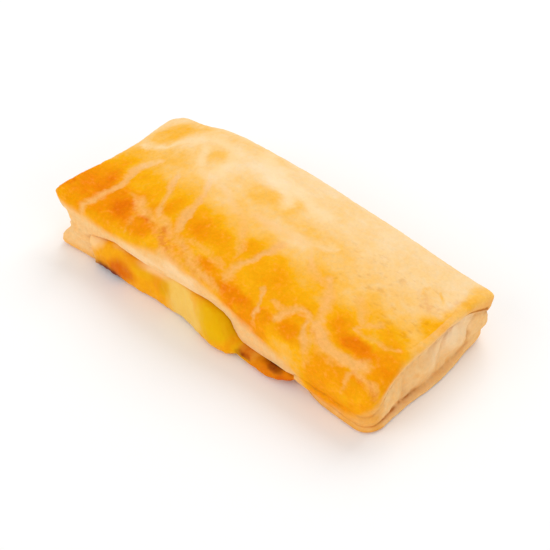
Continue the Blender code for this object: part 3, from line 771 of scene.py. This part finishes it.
# Painted shade: a dark line along the crease of the seam, where little light reaches
painted_seam_shade = bell(down, LEVEL["seam"] - 0.3, 0.5) * (0.75 + 0.4 * uneven(4, 43, 2))
painted_seam_shade *= np.where(round_place > 2.0, 0.6, 0.45 + 0.55 * near_right) * (0.8 + 0.9 * uneven(2.2, 46, 3))
painted_seam_shade *= 0.15 + 0.85 * smoothstep(0.13, 0.17, round_place)
soft_fold = smoothstep(0.06, 0.26, round_the_rim(SLANT, round_place))
# Painted shadow under the overhanging lip
shadow_under_lip = bell(down, LEVEL["mouth"] + 0.6, 0.55) * (0.40 + 0.6 * uneven(3, 47, 2)) * (1 - 0.8 * soft_fold)
bent = round_place + 0.035 * uneven(5, 49, 2) + 0.006 * (down - 8)
# Painted shade in the upright pinched folds at the right end; the same mask also dents the relief
pinch = sum(depth * bell(bent, middle, width) for middle, width, depth in PINCHES)
pinch *= at_right * between(6.0, 7.0, 8.6, 9.8, down)
pinch *= np.clip(0.6 + 1.2 * uneven((4, 4, 5), 50, 2), 0, 1.3)
print("dark points in the seam:", int((painted_seam_shade > 0.4).sum()))

# %% [markdown]
# ## Cream with painted highlight, tan, toast and painted shade
# Bare dough isn't all one colour. The middle layers and the slab over the leak are painted a paler cream,
# which partly stands in for highlight, while the near corner, the far end of the lip and the foot bake to a
# tan. A brown line of painted shade lies under the lip at the right end, and the near corner's foot toasts.

# %% Cream and painted highlight, tan, toast and painted shade
# Paler cream on the slab over the leak: a painted highlight
slab = between(0.20, 0.28, 0.46, 0.52, round_place) * on_wall * (down < 6)
inner_layers = at_right * between(5.4, 6.4, 7.4, 8.8, down) * between(1.38, 1.60, 1.78, 1.88, round_place)
# Pale inner layers at the right end, lifted further as painted light on that end face, and the slab's
# painted highlight
cream_and_highlight = np.maximum(inner_layers * (0.75 + 0.6 * uneven(5, 55, 3)),
                   0.45 * slab * smoothstep(-0.3, 0.4, uneven((6, 6, 2.5), 56, 2)))
near_corner = between(0.72, 0.84, 1.03, 1.12, round_place)
far_lip = between(1.70, 1.80, 1.96, 2.02, round_place) * (down < 5.6)
far_wall = between(2.0, 2.1, 2.9, 3.0, round_place) * smoothstep(3, 6, down)
toe = smoothstep(10.4, 12.2, down)
left_toe = toe * (1 - smoothstep(0.10, 0.16, round_place))
tanned = (0.95 * near_corner + 0.8 * far_lip + 0.6 * left_toe) * (0.9 + 0.5 * uneven(3, 57, 2))
tanned += 0.3 * toe + 0.45 * far_wall * smoothstep(-0.1, 0.6, uneven((16, 16, 7), 59, 3))
# Painted shade: a brown line under the lip at the right end
painted_lip_shade = at_right * bell(down, LEVEL["lip"] + 0.25, 0.5)
painted_lip_shade *= 0.7 + 0.8 * uneven(3, 51, 2) + 0.5 * smoothstep(1.45, 1.6, round_place)
near_foot = near_corner * smoothstep(10.6, 12.4, down) * (0.4 + 0.5 * uneven(3, 58, 2))
# Real toast at the near corner's foot, summed with painted shade in the seam, under the lip and in the folds
toast_and_wall_shade = painted_seam_shade + 0.8 * shadow_under_lip + 0.45 * pinch + painted_lip_shade + 0.6 * near_foot
toast_and_shade = np.clip(np.where(on_wall, toast_and_wall_shade, 0.22 * flecks), 0, 1)
print("toasted points:", int((toast_and_shade > 0.4).sum()))

# %% [markdown]
# ## Relief of the crust
# Glazed islands stand a little proud of the tears, blisters dot the strip, the cut edge shows its thin
# leaves as fine ridges, and the pinched layers fold unevenly. All of it is one small move of each point
# along the surface's own direction, worked out for all points at once.

# %% Relief


def point_sums(amounts, quads, count):
    """For each point, the sum of the amounts of the quads round it."""
    corners = quads.ravel()
    return np.stack([np.bincount(corners, np.repeat(amount, 4), count) for amount in amounts.T], axis=1)


def surface_directions(points, quads):
    """The outward direction at each point: the sum of its quads' crossed diagonals, made length one."""
    a, b, c, d = (points[quads[:, i]] for i in range(4))
    total = point_sums(np.cross(c - a, d - b), quads, len(points))
    return total / np.maximum(np.linalg.norm(total, axis=1, keepdims=True), 1e-9)


def soften(points, quads, share, rounds):
    """Moves each point by its share towards the middle of its quads' corners, a few times over."""
    count = np.maximum(np.bincount(quads.ravel(), minlength=len(points)), 1)[:, None]
    for _ in range(rounds):
        total = point_sums(points[quads].mean(axis=1), quads, len(points))
        points = points + share[:, None] * (total / count - points)
    return points


def leaves(wave, pitch):
    """Thin stacked leaves: ridges one pitch apart in height, whose line wanders by wave."""
    return np.abs(np.sin(math.pi * (z + wave) / pitch)) * 2 - 1


to_rim = np.minimum(HALF_LENGTH - np.abs(x), HALF_WIDTH - np.abs(y))
near_rim = (1 - smoothstep(6, 9, to_rim)) * (1 - smoothstep(2.0, 3.0, down))
crust_points = soften(crust_points, crust_quads, near_rim, rounds=14)
beside_leak = smoothstep(0.78, 0.82, round_place) + 1 - smoothstep(0.07, 0.09, round_place)
seam_wave = 0.55 * uneven((5, 5, 30), 81, 3) + 0.25 * uneven((1.8, 1.8, 9), 86, 2)
crust_points[:, 2] += beside_leak * between(6.0, 8.5, 11.2, 12.6, down) * seam_wave
outward = surface_directions(crust_points, crust_quads)
on_top = 1 - smoothstep(2.2, 3.6, down)
on_cut = between(2.8, 3.8, 5.2, 6.2, down) * dough
in_layers = between(5.6, 6.6, 9.2, 10.0, down)
on_foot = between(9.8, 10.6, 12.6, 13.2, down)
rough_strip = near_lines(wander, {"strip": (5.0, 1.0, TEARS["rough strip"][2])})
wrinkle = 1 - smoothstep(0.0, 0.10, np.abs(uneven((9, 6, 9), 62, 3)))
wrinkle *= smoothstep(-0.3, 0.4, uneven(12, 63, 2))
relief = 0.28 * smoothstep(0.3, 0.9, glaze) - 0.34 * tear + 0.10 * uneven(6, 59, 3)
relief += (0.22 * rough_strip + 0.07) * smoothstep(0.25, 0.8, uneven(1.7, 53, 2))
relief = on_top * (relief + 0.10 * uneven(1.2, 61, 2) - 0.14 * wrinkle - 0.14 * flecks)
wave = 1.1 * uneven((11, 11, 6), 67, 2)
relief += on_cut * (0.12 * leaves(wave, 1.3) + 0.18 * uneven((6, 6, 1.6), 71, 2))
relief += in_layers * (0.16 * leaves(2 * wave, 2.1) + 0.35 * uneven((3.4, 3.4, 2.6), 73, 3))
relief += in_layers * at_right * (0.5 * uneven((3.5, 2.6, 5.0), 75, 2) + 0.14 * uneven(1.3, 77, 2))
relief += on_foot * 0.20 * uneven((4, 4, 1.6), 79, 3) - 0.6 * pinch
crust_points = crust_points + outward * relief[:, None]
crust_points[:, 2] = np.maximum(crust_points[:, 2], 0)
print("relief from", round(float(relief.min()), 2), "to", round(float(relief.max()), 2), "mm")

# %% [markdown]
# ## The filling as one surface
# The filling is a section carried along X: flat inside the pocket, and outside it a soft bulge that
# sags to the tray. The section's few points are the solid's, refined by the same curve.

# %% Surface of the filling
FILLING_SECTIONS = 420
SECTION_STEPS = [1, 1, 1, 1, 4, 6, 6, 6, 5, 4, 3, 2, 1, 1]
END_ROUNDING = 4


def filling_rows():
    """The filling's section at every X, as rows that run along it, in order round the section."""
    x = np.linspace(FILLING_START, FILLING_END, FILLING_SECTIONS)
    from_end = np.minimum(x - FILLING_START, FILLING_END - x)
    tip = 1 - np.minimum(1, from_end / FILLING_SLOPE)
    near_end = 1 - np.minimum(1, from_end / END_ROUNDING)
    top = curve(LEAK_TOP, x)
    out = curve(LEAK_OUT, x) - np.where(x < 0, 0.2, 0.6) * near_end ** 2
    floor = np.full_like(x, POCKET_FLOOR + CLEARANCE)
    low = np.minimum(curve(LEAK_LOW, x), POCKET_FLOOR)
    foot = round_the_rim(FOOT_OUT, rim_place(x)) + round_the_rim(BELLY, rim_place(x))
    beside_foot = HALF_WIDTH + foot + 2 * CLEARANCE
    back = -FILLING_BACK * (1 - tip) - np.where(x < 0, START_TIP, END_TIP) * tip
    middle = (back + MOUTH) / 2
    section = [(back, floor), (back, (floor + top) / 2), (back, top), (middle, top), (MOUTH, top)]
    for share, up in BULGE:
        inner = MOUTH * up + beside_foot * (1 - up)
        section.append((inner + share * (out - inner), low + up * (top - low)))
    section += [(beside_foot, low), (beside_foot, floor), (middle, floor)]
    at_start = np.where(x < 0, tip, 0)
    halfway, half_height = (top + floor) / 2, (top - floor) / 2
    return [np.column_stack([x + START_LEAN * at_start * np.clip((halfway - z) / half_height, -1, 1),
                             np.broadcast_to(-y, x.shape), z]) for y, z in section]


filling_wall, filling_place = refine(filling_rows(), SECTION_STEPS, closed=True)
filling_rings = np.arange(filling_wall.shape[0] * FILLING_SECTIONS).reshape(-1, FILLING_SECTIONS).T[:, ::-1]
filling_points = filling_wall.reshape(-1, 3)
filling_quads = ring_quads(filling_rings)
filling_caps = [filling_rings[0].tolist(), filling_rings[-1][::-1].tolist()]
print("filling:", len(filling_points), "points,", 2 * len(filling_quads), "triangles")

# %% [markdown]
# ## Colours and lumps of the filling
# The leak is pale where it mixed with dough, mustard in the pool, brown where it ran thin and burnt at
# the tray. Each colour is a set of soft spots on its front, moved a little by noise, and low lumps make
# it look curdled.

# %% Colours and relief of the filling
# X, Z, radius along X, radius in height, amount
SPOTS = {
    "pale": [(-9.5, 11, 6, 7, 1.0), (-7, 4, 8, 6, 1.0), (-17, 15, 5, 3, 0.5), (-2, 8, 5, 6, 0.5),
             (21, 6, 4, 3, 0.5)],
    "mustard": [(5, 10, 7, 8, 1.0), (11, 11, 5, 5, 0.8), (-17, 10, 3.6, 4, 1.0), (-27, 11, 5, 3, 0.5),
                (-8, 11, 4, 4, 0.35), (18, 4, 4, 4, 0.8), (23, 5, 4, 3, 0.6)],
    "doughy": [(-59, 8, 7, 12, 1.0), (-51.5, 13.5, 4, 5, 0.7), (-23, 15.8, 8, 3.6, 1.0),
               (-41, 15.5, 9, 2.0, 0.5), (26, 7.5, 9, 1.6, 0.6)],
    "brown": [(-37, 6.5, 6, 4.5, 0.9), (-43, 4.4, 6, 3.4, 0.35), (-31, 13, 6, 2.0, 0.3),
              (19.5, 4.6, 2.6, 2.0, 0.6), (29, 2.6, 11, 3.0, 0.7), (37, 3, 3, 3, 0.5),
              (-20, 9.4, 5, 3.4, 0.3)],
    "burnt": [(-45.4, 0.8, 7, 3.6, 1.0), (-40, 2.2, 5, 2.4, 0.35), (31, 5.0, 4.4, 1.1, 0.75),
              (17, 3.4, 2.0, 1.2, 0.4), (27, 4.8, 2.4, 0.7, 0.2), (20, 3.2, 2.2, 1.0, 0.4)],
}
fx, _, fz = filling_points.T
drift = 3.2 * noise(filling_points, 6, 83, 3)
filling_values = {name: np.clip(patches(fx + drift, fz + drift * 0.25, spots), 0, 1)
                  for name, spots in SPOTS.items()}
filling_outward = surface_directions(filling_points, filling_quads)
shows = np.repeat(between(4.2, 5.2, 10.4, 11.0, filling_place), FILLING_SECTIONS)
lumps = 0.55 * noise(filling_points, (5, 5, 5), 89, 3) + 0.18 * noise(filling_points, 1.6, 97, 2)
filling_points = filling_points + filling_outward * (shows * (lumps - 0.1))[:, None]
filling_points[:, 2] = np.maximum(filling_points[:, 2], 0.3)
print("burnt points of the filling:", int((filling_values["burnt"] > 0.4).sum()))

# %% [markdown]
# ## Making the meshes
# Both pieces are made from whole arrays. The values worked out above go into the mesh as attributes, so
# that the materials can read them wherever the surface is seen from.

# %% Mesh maker


def make_piece(name, points, quads, caps, values):
    """An object from points in millimetres, an array of quads, a few large faces and named values."""
    mesh = bpy.data.meshes.new(name)
    placed = (points - BOX_MIDDLE) * TO_METRES
    sizes = np.concatenate([np.full(len(quads), 4), [len(cap) for cap in caps]]).astype(np.int32)
    corners = np.concatenate([quads.ravel()] + [np.array(cap) for cap in caps]).astype(np.int32)
    mesh.vertices.add(len(placed))
    mesh.vertices.foreach_set("co", placed.astype(np.float32).ravel())
    mesh.loops.add(len(corners))
    mesh.loops.foreach_set("vertex_index", corners)
    mesh.polygons.add(len(sizes))
    mesh.polygons.foreach_set("loop_start", np.concatenate([[0], np.cumsum(sizes)[:-1]]).astype(np.int32))
    mesh.update(calc_edges=True)
    for label, amounts in values.items():
        mesh.attributes.new(label, "FLOAT", "POINT").data.foreach_set("value", amounts.astype(np.float32))
    mesh.shade_smooth()
    return put_in_scene(name, mesh)


crust_values = {"glaze": glaze, "dough": dough, "toast_and_shade": toast_and_shade, "rust": rust,
                "tear": tear * (1 - smoothstep(1, 4, down)), "cream_and_highlight": cream_and_highlight, "tanned": tanned,
                "back": smoothstep(-9, 9, y)}
crust = make_piece("baked_crust", crust_points, crust_quads, [rings[-1][::-1].tolist()], crust_values)
leak = make_piece("melted_filling", filling_points, filling_quads, filling_caps, filling_values)
print("crust faces point out:", bool(crust.data.polygons[0].normal.z > 0))

# %% [markdown]
# ## Writing shaders as sums
# A material is easier to read as a formula than as a web of boxes. This small class wraps a socket, so
# that ordinary sums on it add the Math nodes. Everything else goes through one method that takes the
# kind of node, its settings and its inputs.

# %% Shader helpers


class Wire:
    """A number coming out of a node, which can be used in ordinary sums."""

    def __init__(self, finish, socket):
        self.finish, self.socket = finish, socket

    def sum(self, operation, first, second, clamp=False):
        """A Math node of this operation on two numbers or wires."""
        settings = {"operation": operation, "use_clamp": clamp}
        return self.finish.node("ShaderNodeMath", settings, {0: first, 1: second})

    def __add__(self, other):
        return self.sum("ADD", self, other)

    def __radd__(self, other):
        return self.sum("ADD", other, self)

    def __sub__(self, other):
        return self.sum("SUBTRACT", self, other)

    def __rsub__(self, other):
        return self.sum("SUBTRACT", other, self)

    def __mul__(self, other):
        return self.sum("MULTIPLY", self, other)

    def clamped(self):
        """The same number, kept between 0 and 1."""
        return self.sum("ADD", self, 0.0, clamp=True)


class Finish:
    """One material, built node by node."""

    def __init__(self, name, **constants):
        self.material = bpy.data.materials.new(name)
        self.material.use_nodes = True
        self.tree = self.material.node_tree
        self.surface = self.tree.nodes["Principled BSDF"]
        self.place = self.node("ShaderNodeTexCoord", output="Object")
        for socket, value in constants.items():
            self.surface.inputs[socket.replace("_", " ")].default_value = value

    def node(self, kind, settings=None, inputs=None, output=0):
        """Adds a node, sets it up, joins or sets its inputs, and returns one of its outputs as a wire."""
        made = self.tree.nodes.new(kind)
        for key, value in (settings or {}).items():
            setattr(made, key, value)
        for key, value in (inputs or {}).items():
            self.feed(made.inputs[key], value)
        return Wire(self, made.outputs[output])

    def feed(self, socket, value):
        """Joins a wire to a socket, or sets the socket to a plain value."""
        if isinstance(value, Wire):
            self.tree.links.new(value.socket, socket)
        else:
            socket.default_value = value

    def value(self, name):
        """A value that the mesh carries."""
        return self.node("ShaderNodeAttribute", {"attribute_name": name}, output="Fac")

    def grain(self, scale, detail=2.0, roughness=0.5, distortion=0.0):
        """Soft noise from 0 to 1 with this many bumps a metre."""
        return self.node("ShaderNodeTexNoise", None, {
            "Vector": self.place, "Scale": scale, "Detail": detail, "Roughness": roughness,
            "Distortion": distortion}, "Fac")

    def blend(self, share, low, high):
        """A colour between two colours."""
        return self.node("ShaderNodeMix", {"data_type": "RGBA"}, {0: share, 6: low, 7: high}, output=2)

    def ramp(self, share, stops):
        """A colour read from a row of colours."""
        wire = self.node("ShaderNodeValToRGB", None, {"Fac": share}, "Color")
        elements = wire.socket.node.color_ramp.elements
        while len(elements) < len(stops):
            elements.new(0.5)
        for element, (position, colour) in zip(elements, stops):
            element.position, element.color = position, colour
        return wire

    def bump(self, strength, distance, height):
        """Small bumps in the shading, as high as this distance in metres."""
        return self.node("ShaderNodeBump", None, {
            "Strength": strength, "Distance": distance, "Height": height}, "Normal")

    def give(self, **wires):
        """Joins wires to the surface's sockets."""
        for socket, wire in wires.items():
            self.feed(self.surface.inputs[socket.replace("_", " ")], wire)


print("helpers ready:", Wire.__name__, Finish.__name__)

# %% [markdown]
# ## Finish of the crust
# Egg glaze bakes from straw through gold to orange, so its colour is a ramp over the amount of glaze,
# with fine mottling added before the ramp is read. Bare dough is cream with tan freckles, paler where a
# highlight is painted. Toast and painted shade darken both. The glaze is smoother than the dough, and
# fine grain and rusty crumbs go into the bump.

# %% Crust material
GLAZE_STOPS = [(0.00, srgb(253, 224, 180)), (0.17, srgb(253, 211, 148)), (0.34, srgb(253, 193, 92)),
               (0.50, srgb(252, 177, 14)), (0.67, srgb(248, 158, 4)), (0.84, srgb(243, 135, 2)),
               (1.00, srgb(226, 104, 2))]
baked = Finish("baked puff pastry", Subsurface_Weight=0.08, Subsurface_Scale=0.0015,
               Subsurface_Radius=(1.0, 0.6, 0.3), Specular_IOR_Level=0.02)
mottle = baked.grain(420, 4.0, 0.6)
crumb = baked.grain(850, 5.0, 0.7)
freckle = baked.grain(1600, 2.0, 0.6)
broad = baked.grain(120, 2.0, 0.5)
clots = baked.grain(380, 3.0, 0.6, 0.4)
glazed = baked.value("glaze")
golden = baked.ramp((glazed + (mottle - 0.5) * 0.28 + (broad - 0.5) * 0.2) * (1 / FULL_GLAZE), GLAZE_STOPS)
stretched = ((baked.value("tear") + (mottle - 0.5) * 0.8 + (crumb - 0.5) * 0.7 - 0.06) * 1.15).clamped()
torn = baked.blend(baked.value("back"), srgb(249, 185, 104), srgb(255, 228, 180))
torn = baked.blend((crumb - 0.46) * 1.6, torn, srgb(249, 184, 110))
golden = baked.blend(stretched * 0.9, golden, torn)
bare = baked.blend((mottle - 0.35) * 2.2, srgb(251, 205, 142), srgb(242, 182, 106))
# Paler cream: partly the dough's own colour, partly a painted highlight
bare = baked.blend(baked.value("cream_and_highlight"), bare, srgb(255, 224, 180))
bare = baked.blend(baked.value("tanned") * (0.7 + mottle * 0.5), bare, srgb(244, 174, 80))
skin = baked.blend(baked.value("dough"), golden, bare)
rusty = baked.value("rust") * ((clots - 0.40) * 3.5).clamped()
skin = baked.blend(rusty * 0.8, skin, srgb(222, 116, 36))
# Brown for real toast and flecks, and for painted shade in the seam, under the lip and in the folds
skin = baked.blend(baked.value("toast_and_shade") * (0.6 + freckle * 0.6), skin, srgb(184, 104, 30))
shade = 0.975 + (crumb - 0.5) * (0.14 + glazed * 0.2) + (mottle - 0.5) * glazed * 0.25
skin = baked.node("ShaderNodeVectorMath", {"operation": "SCALE"}, {0: skin, 3: shade}, "Vector")
height = mottle * 0.35 + crumb * 0.6 + freckle * 0.15 - stretched * 0.4 + clots * baked.value("rust") * 0.3
gloss = (glazed * (1 - baked.value("dough"))).clamped()
baked.give(Base_Color=skin, Roughness=0.62 - gloss * 0.2 + (freckle - 0.5) * 0.1,
           Normal=baked.bump(0.55, 0.0007, height))
crust.data.materials.append(baked.material)
print("crust nodes:", len(baked.tree.nodes))

# %% [markdown]
# ## Finish of the filling
# Melted filling is soft and lets a little light through. Its yellow turns olive where it pooled, pale
# where it mixed with dough, brown where it ran thin and black where it touched the hot tray.

# %% Filling material
# Value in the mesh, least share, share added by the curdling, colour
FILLING_HUES = [("mustard", 0.6, 0.7, (233, 178, 4)), ("pale", 0.6, 0.8, (241, 195, 94)),
                ("doughy", 0.8, 0.6, (250, 200, 134)), ("brown", 0.5, 1.0, (218, 106, 2)),
                ("burnt", 0.6, 1.0, (122, 40, 4))]
melted = Finish("melted filling", Subsurface_Weight=0.15, Subsurface_Scale=0.002,
                Subsurface_Radius=(1.0, 0.7, 0.3), Specular_IOR_Level=0.04)
curdle = melted.grain(420, 4.0, 0.65, 0.6)
fine = melted.grain(1500, 2.0, 0.6)
hue = melted.blend((curdle - 0.3) * 2, srgb(240, 158, 2), srgb(250, 176, 22))
for name, least, added, colour in FILLING_HUES:
    hue = melted.blend(melted.value(name) * (least + curdle * added), hue, srgb(*colour))
melted.give(Base_Color=hue, Roughness=0.40 + (fine - 0.5) * 0.2,
            Normal=melted.bump(0.3, 0.0006, curdle * 0.5 + fine * 0.2))
leak.data.materials.append(melted.material)
print("filling nodes:", len(melted.tree.nodes))

# %% [markdown]
# ## Handing over
# Each fine piece rides with the solid body and stands in for its own solid.

# %% Ride and replace
for piece, node, slot in ((crust, "pastry", "golden_crust"), (leak, "filling", "melted_filling")):
    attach(piece, "root")
    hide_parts(node)

visual_box = [list(corner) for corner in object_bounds()]
growth = np.array([np.array(cad_box[0]) - visual_box[0], np.array(visual_box[1]) - cad_box[1]]) * 1000
print("past the solids' box, mm:", np.round(growth, 2).tolist())
